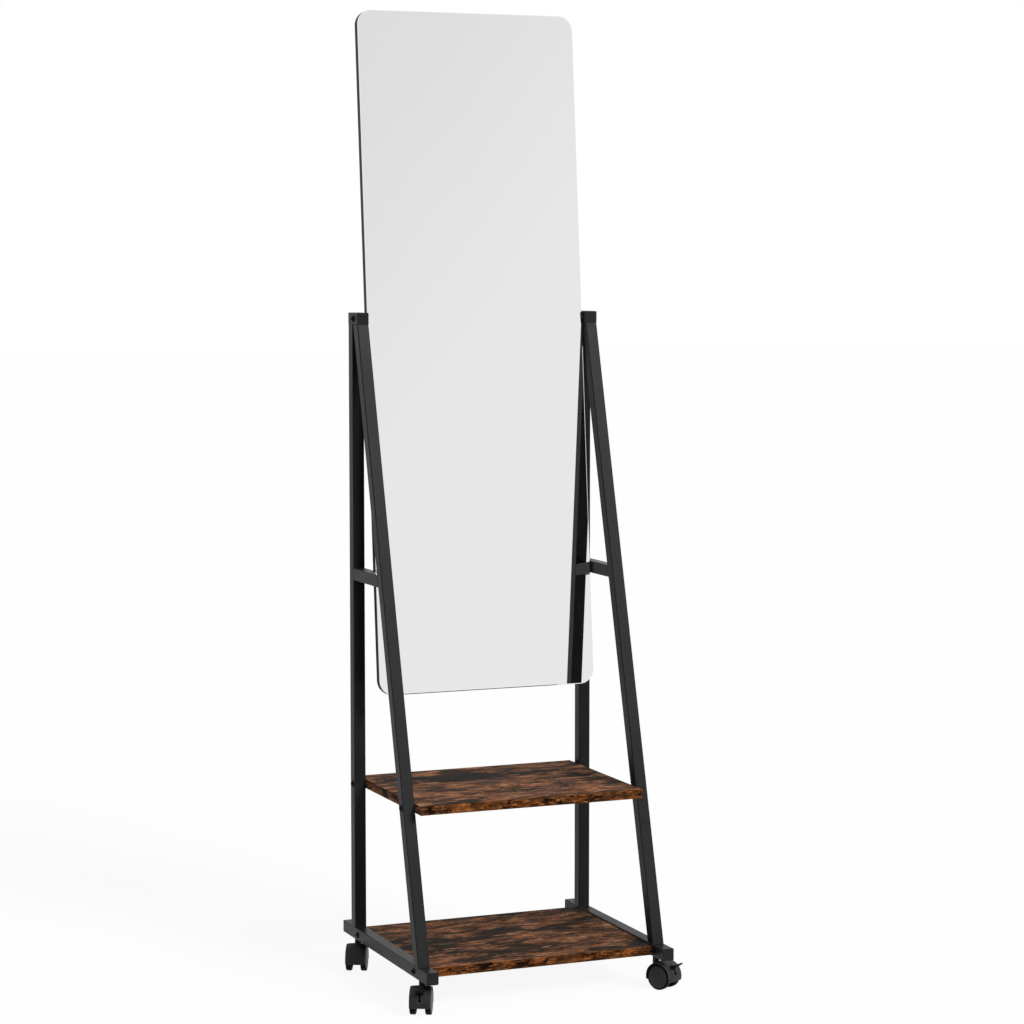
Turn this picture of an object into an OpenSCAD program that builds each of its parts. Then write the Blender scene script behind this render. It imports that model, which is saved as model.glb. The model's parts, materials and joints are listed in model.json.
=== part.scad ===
// Rolling floor mirror: a tilting mirror between two A-shaped side frames
// of square tube, with two shelves and four twin-wheel casters.
// Millimetres, +Z up, front towards -Y, origin on the floor under the middle.

/* [Side frames] */

// Width over the outer faces of the two side frames
frame_w = 430; // [360:1:600]
// Length of a bottom rail with its end plugs, front to back
rail_len = 396; // [340:1:500]
// Side of the square tube
tube = 20; // [18:0.5:25]
// Wall of the square tube
tube_wall = 1.2; // [1:0.1:2]
// Outer corner radius of the square tube
tube_corner = 1.6; // [1.2:0.1:2.5]
// Height of the top of the blocks above the top of the rails
frame_rise = 1029; // [800:1:1300]
// Distance from the rail's rear end to the rear face of the post
post_inset = 40.5; // [32:0.5:60]
// Distance from the rail's front end to the foot of the front leg
leg_inset = 37; // [30:0.5:60]
// Length of a top block with its plugs, front to back
block_len = 44; // [43:0.5:60]
// Height of the crossbar's lower face above the top of the rails
crossbar_rise = 586; // [450:1:700]

/* [End plugs] */

// Thickness of a rail plug's flange
rail_plug_flange = 2; // [1.5:0.1:3]
// Thickness of a block plug's flange
block_plug_flange = 1.5; // [1:0.1:2.5]
// Depth of a rail plug inside its tube
rail_plug_depth = 12; // [8:0.5:18]
// Depth of a block plug inside its tube
block_plug_depth = 8; // [6:0.5:9]
// Gap between a plug and the inside of its tube
plug_gap = 0.1; // [0.05:0.05:0.3]

/* [Shelves] */

// Thickness of a shelf
shelf_t = 15; // [12:0.5:18]
// Top of the middle shelf above the top of the rails
mid_shelf_rise = 250; // [180:1:320]
// Depth of the middle shelf, front to back
mid_shelf_d = 299; // [270:1:320]
// Overhang of the middle shelf behind the posts
mid_shelf_overhang = 20.5; // [10:0.5:30]
// Top of the bottom shelf below the top of the rails
low_shelf_drop = 2.5; // [1:0.5:4]
// Depth of the bottom shelf, front to back
low_shelf_d = 310; // [300:1:340]
// Distance from the rail's front end to the bottom shelf
low_shelf_inset = 37.5; // [33:0.5:45]
// Distance from the bottom shelf's edges to its bolts
low_bolt_inset = 22.5; // [20:0.5:35]

/* [Fasteners] */

// Shank diameter of the bolts
bolt_d = 6; // [5:0.5:8]
// Head diameter of the bolts
bolt_head_d = 11.5; // [11:0.5:14]
// Head height of the bolts
bolt_head_h = 3.3; // [2.5:0.1:4]
// Width across flats of the key socket
bolt_key = 4; // [3:0.5:5]
// Depth of the key socket
bolt_key_depth = 1.9; // [1.2:0.1:2.3]
// Gap round a bolt in a tube wall
bolt_gap = 0.2; // [0.1:0.05:0.4]
// Length of a shelf bolt inside the shelf
shelf_bolt_grip = 12; // [10:0.5:20]
// Outer diameter of a threaded insert
insert_d = 8.5; // [8:0.5:10]
// Length of a shelf insert
shelf_insert_len = 14; // [13:0.5:24]
// Depth of a shelf's bore past the end of its insert
insert_end_gap = 1; // [0.5:0.5:3]

/* [Mirror] */

// Gap between the mirror's edge and a side frame
mirror_gap = 2; // [1.4:0.1:5]
// Height of the mirror
mirror_h = 1130; // [900:1:1250]
// Corner radius of the mirror
mirror_corner = 25; // [10:1:60]
// Thickness of the glass
glass_t = 3; // [3:0.5:5]
// Thickness of the adhesive sheet
adhesive_t = 0.5; // [0.3:0.1:1]
// Thickness of the backing board
board_t = 10.5; // [10.5:0.5:15]
// Distance from the pane's edge to the adhesive sheet
adhesive_inset = 2; // [1:0.5:10]
// Height of the pivot above the mirror's lower edge
pivot_up = 622; // [500:1:700]
// Tilt of the mirror at rest, top towards the back
mirror_tilt = 5; // [0:0.5:15]
// Distance from the block's rear end to the pivot
pivot_inset = 23.5; // [20:0.5:26]
// Radial gap of a pivot bolt in its sleeve
pivot_gap = 0.08; // [0.05:0.01:0.1]
// Outer diameter of a pivot sleeve
sleeve_d = 10; // [9.5:0.5:12]
// Length of a pivot bolt inside the mirror
pivot_grip = 26; // [20:1:40]
// Length of a pivot insert in the backing board
pivot_insert_len = 28; // [24:1:42]
// Diameter of a pivot washer
washer_d = 16; // [14:0.5:18]
// Gap between a turning face and a fixed face at the pivot
face_gap = 0.3; // [0.2:0.05:0.5]

/* [Casters] */

// Height of the underside of the rails above the floor
caster_h = 53; // [50:0.5:60]
// Distance from a rail's end to the caster stem
stem_inset = 46; // [40:0.5:55]
// Swivel angle of the front casters at rest
front_yaw = 27.5; // [0:0.5:90]
// Swivel angle of the rear casters at rest
rear_yaw = 27; // [0:0.5:90]
// Wheel diameter
wheel_d = 42; // [38:0.5:44]
// Width of one wheel at its tread
wheel_w = 9; // [8.5:0.5:12]
// Height of the dome on a wheel's outer face
wheel_dome = 1.5; // [0.5:0.1:2]
// Distance from the stem's axis back to the wheel axle
trail = 16; // [14:0.5:18]
// Outer radius of the hood round the axle at its middle
hood_r = 25; // [24.5:0.1:27]
// Drop of the hood's radius at its side edges
hood_crown = 1.3; // [0.5:0.1:1.3]
// Wall of the hood over the wheels
hood_wall = 1.4; // [1:0.1:1.6]
// Width of the hood
hood_w = 34; // [32:0.5:42]
// Thickness of the hood's middle web
web_t = 15; // [12:0.5:16]
// Gap between the web and a wheel
web_gap = 0.5; // [0.3:0.1:1]
// Drop of the hood's lower edge below the axle
hood_drop = 6.2; // [5:0.1:10]
// Diameter of the hood's neck
neck_d = 11; // [11:0.5:14.5]
// Diameter of the stem's pin in the hood
stem_d = 8; // [7:0.5:9]
// Diameter of the stem's threaded end
thread_d = 8; // [6:0.5:10]
// Length of the stem's threaded end above the rail's underside
thread_len = 9; // [8.5:0.5:14]
// Thickness of the stem's flange
stem_flange_t = 1.2; // [0.8:0.1:2]
// Depth of the stem's pin below the rail's underside
stem_pin_len = 30; // [24:0.5:32]
// Width across flats of the weld nut
nut_flats = 13; // [12:0.5:14]
// Height of the weld nut
nut_h = 6.5; // [5:0.5:8]
// Axle diameter
axle_d = 6; // [5:0.5:7]
// Depth of the axle inside a wheel
axle_grip = 8; // [6:0.5:8.5]
// Radial gap of each shaft that turns in a bore
run_gap = 0.06; // [0.03:0.01:0.1]
// Depth of the snap groove in the axle and stem
snap = 0.3; // [0.2:0.05:0.5]
// Width of the snap groove
snap_w = 1.4; // [1.2:0.1:2]

/* [Brake levers] */

// Forward distance of the lever's pin from the axle
lever_pin_fwd = 10; // [9:0.5:11]
// Height of the lever's pin above the axle
lever_pin_up = 12; // [11:0.5:13]
// Diameter of the lever's pin
lever_pin_d = 2.4; // [2:0.1:2.6]
// Thickness of the lever's arm
lever_arm_t = 3; // [2.5:0.1:3.2]
// Gap on each side of the lever's arm
lever_side_gap = 0.5; // [0.4:0.1:0.8]
// Width of the window at the lower end of the lever's slot
lever_window_w = 5.5; // [5:0.1:7]
// Height of the window at the lower end of the lever's slot
lever_window_h = 4.4; // [3:0.1:6]
// Height of the slot's lower end above the axle
lever_slot_up = 3.7; // [2.6:0.1:5]
// Width of the lever's tab
lever_tab_w = 13; // [10:0.5:16]
// Thickness of the lever's tab
lever_tab_t = 2.4; // [2:0.1:2.8]
// Reach of the lever's tab past the hood
lever_reach = 8.5; // [6:0.5:12]
// Radius of the lever's foot
lever_foot_r = 1.2; // [1:0.1:1.4]
// Reach of the lever's foot past the web into a wheel
lever_foot_reach = 2.2; // [1.8:0.1:2.4]
// Radius of the hub that the lever's foot presses on
hub_r = 8; // [7.5:0.1:8]
// Depth of the recess round a wheel's hub
hub_recess = 3; // [3:0.1:4]
// Outer radius of the recess round a wheel's hub
hub_recess_r = 16; // [15:0.5:17]

/* [Hidden] */

$fn = 64;
eps = 0.02;

// Heights
rail_top = caster_h + tube;
block_top = rail_top + frame_rise;
block_bottom = block_top - tube;
crossbar_z = rail_top + crossbar_rise;
mid_shelf_top = rail_top + mid_shelf_rise;
mid_shelf_z = mid_shelf_top - shelf_t;
mid_bolt_z = mid_shelf_z + shelf_t / 2;
low_shelf_top = rail_top - low_shelf_drop;
low_shelf_z = low_shelf_top - shelf_t;
low_bolt_z = low_shelf_z + shelf_t / 2;
pivot_z = block_bottom + tube / 2;

// Across
side_x = frame_w / 2;
inner_x = side_x - tube;
inner_w = frame_w - 2 * tube;

// Front to back
rail_end = rail_len / 2;
post_back = rail_end - post_inset;
post_front = post_back - tube;
post_mid = post_back - tube / 2;
block_front = post_back - block_len;
foot_front = -rail_end + leg_inset;
leg_run = block_front - foot_front;
leg_rise = block_bottom - rail_top;
lean = atan2(leg_run, leg_rise);
leg_flat = tube / cos(lean);
pivot_y = post_back - pivot_inset;
mid_shelf_back = post_back + mid_shelf_overhang;
mid_shelf_front = mid_shelf_back - mid_shelf_d;
low_shelf_front = -rail_end + low_shelf_inset;
low_shelf_back = low_shelf_front + low_shelf_d;
leg_bolt_y = foot_front + (mid_bolt_z - rail_top) * tan(lean) + leg_flat / 2;
low_bolt_front = low_shelf_front + low_bolt_inset;
low_bolt_back = low_shelf_back - low_bolt_inset;

// Mirror
mirror_x = inner_x - mirror_gap;
mirror_w = 2 * mirror_x;
washer_t = mirror_gap - face_gap;
board_back = board_t / 2;
glue_y = -board_t / 2 - adhesive_t;
glass_y = glue_y - glass_t;
pivot_r = bolt_d / 2 + pivot_gap;

// Casters
wheel_r = wheel_d / 2;
wheel_in = web_t / 2 + web_gap;
wheel_out = wheel_in + wheel_w;
stem_x = side_x - tube / 2;
stem_y = rail_end - stem_inset;
neck_top = caster_h - stem_flange_t - face_gap;
stem_end = caster_h - stem_pin_len;
snap_z = stem_end + 3 * snap_w;
axle_half = wheel_in + axle_grip;
snap_x = axle_half - 2 * snap_w;
hood_r_edge = hood_r - hood_crown;
crown_r = (pow(hood_w / 2, 2) + pow(hood_crown, 2)) / (2 * hood_crown);
lever_slot = lever_arm_t + 2 * lever_side_gap;
tab_in = hood_r - 7.4;
tab_up = lever_pin_up + 8.5;
tab_out = hood_r + lever_reach;

// ---------- shared shapes ----------

// Square with round corners, its middle at the origin
module round_square(w, d, r) {
  square([w - 2 * r, d], center = true);
  square([w, d - 2 * r], center = true);
  for (sx = [-1, 1])
    for (sy = [-1, 1])
      translate([sx * (w / 2 - r), sy * (d / 2 - r)])
        circle(r = r);
}

// Square tube along Z from 0 to the given length, its middle at the origin
module tube_z(length) {
  difference() {
    linear_extrude(height = length)
      round_square(tube, tube, tube_corner);
    translate([0, 0, -1])
      linear_extrude(height = length + 2)
        round_square(tube - 2 * tube_wall, tube - 2 * tube_wall, tube_corner - tube_wall);
  }
}

// Square tube along Y from the first place to the second, lower face at z
module tube_y(x, y0, y1, z) {
  translate([x, y1, z + tube / 2])
    rotate([90, 0, 0])
      tube_z(y1 - y0);
}

// Cylinder along X from the first place to the second
module rod_x(x0, x1, r) {
  translate([x0, 0, 0])
    rotate([0, 90, 0])
      cylinder(r = r, h = x1 - x0);
}

// Hole for a bolt right through a side frame, at y and z
module bolt_hole(s, y, z, r) {
  translate([s * (side_x - tube / 2), y, z])
    rod_x(-tube, tube, r);
}

// Pan head bolt along +X, the underside of its head at the origin
module bolt(length) {
  difference() {
    union() {
      rod_x(-eps, length, bolt_d / 2);
      translate([-bolt_head_h, 0, 0])
        rotate([0, 90, 0])
          intersection() {
            cylinder(r = bolt_head_d / 2, h = bolt_head_h);
            translate([0, 0, bolt_head_d * 0.85])
              sphere(r = bolt_head_d * 0.85);
          }
    }
    translate([-bolt_head_h - 1, 0, 0])
      rotate([0, 90, 0])
        cylinder(d = bolt_key / cos(30), h = bolt_key_depth + 1, $fn = 6);
  }
}

// Threaded insert along +X from the origin
module insert(length) {
  difference() {
    rod_x(0, length, insert_d / 2);
    rod_x(-1, length + 1, bolt_d / 2);
  }
}

// Turns a shape made for the left side to the given side
module on_side(s) {
  if (s < 0)
    children();
  else
    mirror([1, 0, 0])
      children();
}

// ---------- side frames ----------

module rail(s) {
  color([0.09, 0.09, 0.095])
    difference() {
      tube_y(s * (side_x - tube / 2), -rail_end + rail_plug_flange, rail_end - rail_plug_flange, caster_h);
      bolt_hole(s, low_bolt_front, low_bolt_z, bolt_d / 2 + bolt_gap);
      bolt_hole(s, low_bolt_back, low_bolt_z, bolt_d / 2 + bolt_gap);
      for (sy = [-1, 1])
        translate([s * stem_x, sy * stem_y, caster_h - 1])
          cylinder(r = thread_d / 2 + bolt_gap, h = tube_wall + 2);
    }
}

module post(s) {
  color([0.09, 0.09, 0.095])
    difference() {
      translate([s * (side_x - tube / 2), post_mid, rail_top])
        tube_z(leg_rise);
      bolt_hole(s, post_mid, mid_bolt_z, bolt_d / 2 + bolt_gap);
    }
}

module leg(s) {
  color([0.09, 0.09, 0.095])
    difference() {
      intersection() {
        translate([s * (side_x - tube / 2), foot_front, rail_top])
          rotate([-lean, 0, 0])
            translate([0, tube / 2, -tube])
              tube_z(leg_rise / cos(lean) + 2 * tube);
        translate([s * side_x - 2 * tube, -rail_len, rail_top])
          cube([4 * tube, 2 * rail_len, leg_rise]);
      }
      bolt_hole(s, leg_bolt_y, mid_bolt_z, bolt_d / 2 + bolt_gap);
    }
}

module crossbar(s) {
  low = foot_front + (crossbar_z - rail_top) * tan(lean) + leg_flat;
  color([0.09, 0.09, 0.095])
    difference() {
      tube_y(s * (side_x - tube / 2), low - tube, post_front, crossbar_z);
      translate([s * side_x - 2 * tube, low, crossbar_z])
        rotate([-lean, 0, 0])
          translate([0, -3 * tube, -2 * tube])
            cube([4 * tube, 3 * tube, 5 * tube]);
    }
}

module block(s) {
  color([0.09, 0.09, 0.095])
    difference() {
      tube_y(s * (side_x - tube / 2), block_front + block_plug_flange,
             post_back - block_plug_flange, block_bottom);
      bolt_hole(s, pivot_y, pivot_z, pivot_r);
    }
}

// Plug on a tube's end, its flange's outer face at the origin, facing -Y
module plug(flange, depth) {
  inside = tube - 2 * tube_wall - 2 * plug_gap;
  rotate([-90, 0, 0]) {
    linear_extrude(height = flange)
      round_square(tube, tube, tube_corner);
    translate([0, 0, flange - eps])
      linear_extrude(height = depth + eps)
        square(inside, center = true);
  }
}

module rail_plugs() {
  color([0.05, 0.05, 0.05])
    for (s = [-1, 1])
      for (sy = [-1, 1])
        translate([s * stem_x, sy * rail_end, caster_h + tube / 2])
          rotate([0, 0, sy < 0 ? 0 : 180])
            plug(rail_plug_flange, rail_plug_depth);
}

module block_plugs() {
  color([0.05, 0.05, 0.05])
    for (s = [-1, 1]) {
      translate([s * stem_x, block_front, pivot_z])
        plug(block_plug_flange, block_plug_depth);
      translate([s * stem_x, post_back, pivot_z])
        rotate([0, 0, 180])
          plug(block_plug_flange, block_plug_depth);
    }
}

module pivot_sleeves() {
  color([0.55, 0.55, 0.57])
    for (s = [-1, 1])
      translate([s * (side_x - tube / 2), pivot_y, pivot_z])
        difference() {
          rod_x(-tube / 2 + tube_wall, tube / 2 - tube_wall, sleeve_d / 2);
          rod_x(-tube, tube, pivot_r);
        }
}

// ---------- shelves ----------

module shelf_bore(y, z) {
  for (s = [-1, 1])
    on_side(s)
      translate([-inner_x, y, z])
        rod_x(-1, shelf_insert_len + insert_end_gap, insert_d / 2);
}

module middle_shelf() {
  color([0.36, 0.22, 0.13])
    difference() {
      translate([-inner_x, mid_shelf_front, mid_shelf_z])
        cube([inner_w, mid_shelf_d, shelf_t]);
      shelf_bore(leg_bolt_y, mid_bolt_z);
      shelf_bore(post_mid, mid_bolt_z);
    }
}

module bottom_shelf() {
  color([0.36, 0.22, 0.13])
    difference() {
      translate([-inner_x, low_shelf_front, low_shelf_z])
        cube([inner_w, low_shelf_d, shelf_t]);
      shelf_bore(low_bolt_front, low_bolt_z);
      shelf_bore(low_bolt_back, low_bolt_z);
    }
}

// Puts a copy at each of the eight shelf bolts, at the given x on the left
module at_shelf_bolts(x) {
  for (s = [-1, 1])
    on_side(s)
      for (p = [[leg_bolt_y, mid_bolt_z], [post_mid, mid_bolt_z],
                [low_bolt_front, low_bolt_z], [low_bolt_back, low_bolt_z]])
        translate([x, p[0], p[1]])
          children();
}

module shelf_inserts() {
  color([0.72, 0.62, 0.35])
    at_shelf_bolts(-inner_x)
      insert(shelf_insert_len);
}

module shelf_bolts() {
  color([0.07, 0.07, 0.07])
    at_shelf_bolts(-side_x)
      bolt(tube + shelf_bolt_grip);
}

// ---------- caster fixings in the rails ----------

module at_stems() {
  for (s = [-1, 1])
    for (sy = [-1, 1])
      translate([s * stem_x, sy * stem_y, 0])
        children();
}

module weld_nuts() {
  color([0.6, 0.6, 0.6])
    at_stems()
      translate([0, 0, caster_h + tube_wall])
        difference() {
          cylinder(d = nut_flats / cos(30), h = nut_h, $fn = 6);
          translate([0, 0, -1])
            cylinder(r = thread_d / 2, h = nut_h + 2);
        }
}

module caster_stems() {
  color([0.62, 0.62, 0.63])
    at_stems()
      difference() {
        union() {
          translate([0, 0, stem_end])
            cylinder(r = stem_d / 2, h = stem_pin_len);
          translate([0, 0, caster_h - stem_flange_t])
            cylinder(r = neck_d / 2, h = stem_flange_t);
          translate([0, 0, caster_h - eps])
            cylinder(r = thread_d / 2, h = thread_len + eps);
        }
        translate([0, 0, snap_z])
          difference() {
            cylinder(r = stem_d, h = snap_w);
            translate([0, 0, -1])
              cylinder(r = stem_d / 2 - snap, h = snap_w + 2);
          }
      }
}

// ---------- mirror ----------

// Puts a shape made upright, with the pivot at the origin, in its place
module tilted() {
  translate([0, pivot_y, pivot_z])
    rotate([-mirror_tilt, 0, 0])
      children();
}

// Upright sheet with round corners, drawn in from the edge
module sheet(y, t, drawn_in) {
  translate([0, y + t, mirror_h / 2 - pivot_up])
    rotate([90, 0, 0])
      linear_extrude(height = t)
        round_square(mirror_w - 2 * drawn_in, mirror_h - 2 * drawn_in, mirror_corner - drawn_in);
}

module mirror_glass() {
  color([0.85, 0.87, 0.88])
    tilted()
      sheet(glass_y, glass_t, 0);
}

module adhesive_sheet() {
  color([0.8, 0.8, 0.75])
    tilted()
      sheet(glue_y, adhesive_t, adhesive_inset);
}

module backing_board() {
  color([0.06, 0.06, 0.06])
    tilted()
      difference() {
        sheet(-board_t / 2, board_t, 0);
        for (s = [-1, 1])
          on_side(s)
            translate([-mirror_x, 0, 0])
              rod_x(-1, pivot_insert_len + insert_end_gap, insert_d / 2);
      }
}

module pivot_inserts() {
  color([0.72, 0.62, 0.35])
    tilted()
      for (s = [-1, 1])
        on_side(s)
          translate([-mirror_x, 0, 0])
            insert(pivot_insert_len);
}

module pivot_bolts() {
  color([0.07, 0.07, 0.07])
    tilted()
      for (s = [-1, 1])
        on_side(s)
          translate([-side_x - face_gap, 0, 0])
            bolt(face_gap + side_x - mirror_x + pivot_grip);
}

module pivot_washers() {
  color([0.06, 0.06, 0.06])
    tilted()
      for (s = [-1, 1])
        on_side(s)
          translate([-mirror_x - washer_t, 0, 0])
            difference() {
              rod_x(0, washer_t, washer_d / 2);
              rod_x(-1, washer_t + 1, bolt_d / 2);
            }
}

// ---------- casters, made at the stem's axis with the wheels towards -Y ----------

module at_caster(s, sy) {
  turn = sy < 0 ? front_yaw : rear_yaw;
  translate([s * stem_x, sy * stem_y, 0])
    rotate([0, 0, s * turn])
      children();
}

// Turns an outline drawn as forward and up from the axle, and centres it on X
module side_cut(width) {
  translate([-width / 2, -trail, wheel_r])
    rotate([90, 0, 90])
      mirror([1, 0, 0])
        linear_extrude(height = width)
          children();
}

// Solid of the hood's outer form, a barrel along X at the axle
module hood_barrel(less) {
  translate([0, -trail, wheel_r])
    rotate([0, 90, 0])
      rotate_extrude()
        intersection() {
          translate([hood_r - crown_r - less, 0])
            circle(r = crown_r, $fn = 180);
          translate([0, -hood_w / 2])
            square([hood_r, hood_w]);
        }
}

module hood(lever) {
  color([0.1, 0.1, 0.1])
    difference() {
      union() {
        // cover over both wheels
        difference() {
          hood_barrel(0);
          translate([0, -trail, wheel_r])
            rod_x(-hood_w, hood_w, hood_r_edge - hood_wall);
          // open below the lower edge
          translate([-hood_w, -trail - 2 * hood_r, wheel_r - hood_drop - 2 * hood_r])
            cube([2 * hood_w, 4 * hood_r, 2 * hood_r]);
        }
        // middle web
        intersection() {
          hood_barrel(0);
          translate([-web_t / 2, -trail - 2 * hood_r, wheel_r - hood_drop])
            cube([web_t, 4 * hood_r, 3 * hood_r]);
        }
        // neck round the stem
        translate([0, 0, wheel_r])
          cylinder(r = neck_d / 2, h = neck_top - wheel_r);
      }
      // bore for the stem's pin
      difference() {
        translate([0, 0, stem_end - face_gap])
          cylinder(r = stem_d / 2 + run_gap, h = caster_h);
        translate([0, 0, snap_z + run_gap])
          difference() {
            cylinder(r = stem_d, h = snap_w - 2 * run_gap);
            translate([0, 0, -1])
              cylinder(r = stem_d / 2 - snap + run_gap, h = snap_w + 2);
          }
      }
      // bore for the axle
      translate([0, -trail, wheel_r])
        rod_x(-hood_w, hood_w, axle_d / 2);
      // room for the neck beside the wheels
      for (sx = [-1, 1])
        translate([sx * (wheel_in + wheel_w / 2 - web_gap), -trail, wheel_r])
          rod_x(-wheel_w / 2, wheel_w / 2 + web_gap, wheel_r + 2 * web_gap);
      if (lever) {
        // room for the lever's arm, open at the hood's front
        side_cut(lever_slot)
          polygon([[5.2, 1.6], [5.2, lever_pin_up + 3.2], [lever_pin_fwd - 1.4, lever_pin_up + 3.6],
                   [hood_r - 8.2, 21.4], [hood_r - 5, 27], [2 * hood_r, 27],
                   [2 * hood_r, lever_slot_up], [hood_r - 8, lever_slot_up], [13.5, 1.6]]);
        side_cut(lever_window_w)
          translate([hood_r - 8, lever_slot_up])
            square([2 * hood_r, lever_window_h]);
        // way for the lever's foot
        side_cut(web_t + 2)
          translate([0, lever_pin_up - 8])
            for (d = [-1.8, -0.9, 0, 0.9])
              translate([lever_pin_fwd + d, 0])
                circle(r = lever_foot_r + 0.4);
        // bore for the lever's pin
        translate([0, -trail - lever_pin_fwd, wheel_r + lever_pin_up])
          rod_x(-web_t, web_t, lever_pin_d / 2);
      }
    }
}

module axle() {
  color([0.62, 0.62, 0.63])
    translate([0, -trail, wheel_r])
      difference() {
        rod_x(-axle_half, axle_half, axle_d / 2);
        for (sx = [-1, 1])
          translate([sx * snap_x, 0, 0])
            difference() {
              rod_x(-snap_w / 2, snap_w / 2, axle_d);
              rod_x(-snap_w, snap_w, axle_d / 2 - snap);
            }
      }
}

// Wheel on the side of +X; its hub is recessed for the lever's foot
module wheel_plus() {
  rotate([0, 90, 0])
    difference() {
      rotate_extrude()
        polygon([[0, wheel_in], [hub_r, wheel_in], [hub_r, wheel_in + hub_recess],
                 [hub_recess_r, wheel_in + hub_recess], [hub_recess_r, wheel_in],
                 [wheel_r - 1, wheel_in], [wheel_r, wheel_in + 1],
                 [wheel_r, wheel_out - 1.2], [wheel_r - 1.2, wheel_out],
                 [wheel_r * 0.6, wheel_out + wheel_dome * 0.8], [0, wheel_out + wheel_dome]]);
      difference() {
        translate([0, 0, wheel_in - 1])
          cylinder(r = axle_d / 2 + run_gap, h = axle_grip + face_gap + 1);
        translate([0, 0, snap_x - snap_w / 2 + run_gap])
          difference() {
            cylinder(r = axle_d, h = snap_w - 2 * run_gap);
            translate([0, 0, -1])
              cylinder(r = axle_d / 2 - snap + run_gap, h = snap_w + 2);
          }
      }
    }
}

module wheel(s) {
  color([0.09, 0.09, 0.09])
    translate([0, -trail, wheel_r])
      if (s > 0)
        wheel_plus();
      else
        mirror([1, 0, 0])
          wheel_plus();
}

module lever() {
  color([0.1, 0.1, 0.1])
    difference() {
      union() {
        // arm from the foot past the pin to the tab
        side_cut(lever_arm_t) {
          translate([lever_pin_fwd, lever_pin_up])
            circle(r = lever_pin_d / 2 + 1.4);
          translate([lever_pin_fwd + 0.9 - lever_foot_r, lever_pin_up - 8])
            square([2 * lever_foot_r, 8]);
          polygon([[lever_pin_fwd - 1.2, lever_pin_up + 2.3],
                   [lever_pin_fwd + 2.2, lever_pin_up - 1.4],
                   [tab_in + 4.7, tab_up - 4.2], [tab_in, tab_up]]);
        }
        // tab for the shoe, rising outwards with a lip at its end
        side_cut(lever_tab_w)
          polygon([[tab_in + 4.5, tab_up - 4.3], [tab_in + 9.5, tab_up - 2.2],
                   [tab_out - 2, tab_up + 1.6], [tab_out, tab_up + 2.7],
                   [tab_out, tab_up + 2.7 + lever_tab_t], [tab_out - 2.2, tab_up + 2 + lever_tab_t],
                   [tab_in + 8.5, tab_up - 0.9 + lever_tab_t], [tab_in + 1, tab_up + 0.4],
                   [tab_in + 0.7, tab_up - 0.9]]);
        // foot into both wheels
        translate([0, -trail - lever_pin_fwd - 0.9, wheel_r + lever_pin_up - 8])
          rod_x(-web_t / 2 - lever_foot_reach, web_t / 2 + lever_foot_reach, lever_foot_r);
      }
      translate([0, -trail - lever_pin_fwd, wheel_r + lever_pin_up])
        rod_x(-hood_w, hood_w, lever_pin_d / 2 + run_gap);
    }
}

module lever_pin() {
  color([0.62, 0.62, 0.63])
    translate([0, -trail - lever_pin_fwd, wheel_r + lever_pin_up])
      rod_x(-web_t / 2, web_t / 2, lever_pin_d / 2);
}

// ---------- nodes ----------

rail(-1);  // left_rail
rail(1);  // right_rail
post(-1);  // left_post
post(1);  // right_post
leg(-1);  // left_leg
leg(1);  // right_leg
crossbar(-1);  // left_crossbar
crossbar(1);  // right_crossbar
block(-1);  // left_block
block(1);  // right_block
rail_plugs();
block_plugs();
pivot_sleeves();
middle_shelf();
bottom_shelf();
shelf_inserts();
shelf_bolts();
weld_nuts();
caster_stems();
mirror_glass();
adhesive_sheet();
backing_board();
pivot_inserts();
pivot_bolts();
pivot_washers();
at_caster(-1, -1) hood(true);  // front_left_hood
at_caster(-1, -1) axle();  // front_left_axle
at_caster(-1, -1) wheel(-1);  // front_left_wheel_a
at_caster(-1, -1) wheel(1);  // front_left_wheel_b
at_caster(-1, -1) lever();  // front_left_lever
at_caster(-1, -1) lever_pin();  // front_left_lever_pin
at_caster(1, -1) hood(true);  // front_right_hood
at_caster(1, -1) axle();  // front_right_axle
at_caster(1, -1) wheel(-1);  // front_right_wheel_a
at_caster(1, -1) wheel(1);  // front_right_wheel_b
at_caster(1, -1) lever();  // front_right_lever
at_caster(1, -1) lever_pin();  // front_right_lever_pin
at_caster(-1, 1) hood(false);  // rear_left_hood
at_caster(-1, 1) axle();  // rear_left_axle
at_caster(-1, 1) wheel(-1);  // rear_left_wheel_a
at_caster(-1, 1) wheel(1);  // rear_left_wheel_b
at_caster(1, 1) hood(false);  // rear_right_hood
at_caster(1, 1) axle();  // rear_right_axle
at_caster(1, 1) wheel(-1);  // rear_right_wheel_a
at_caster(1, 1) wheel(1);  // rear_right_wheel_b
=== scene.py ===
"""Looks of a rolling floor mirror: tilting pane, tube side frames, shelves, fixings and casters."""

import json
import math

import bmesh
import bpy
from bpy.props import FloatProperty, FloatVectorProperty, PointerProperty
from mathutils import Matrix, Vector

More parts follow.
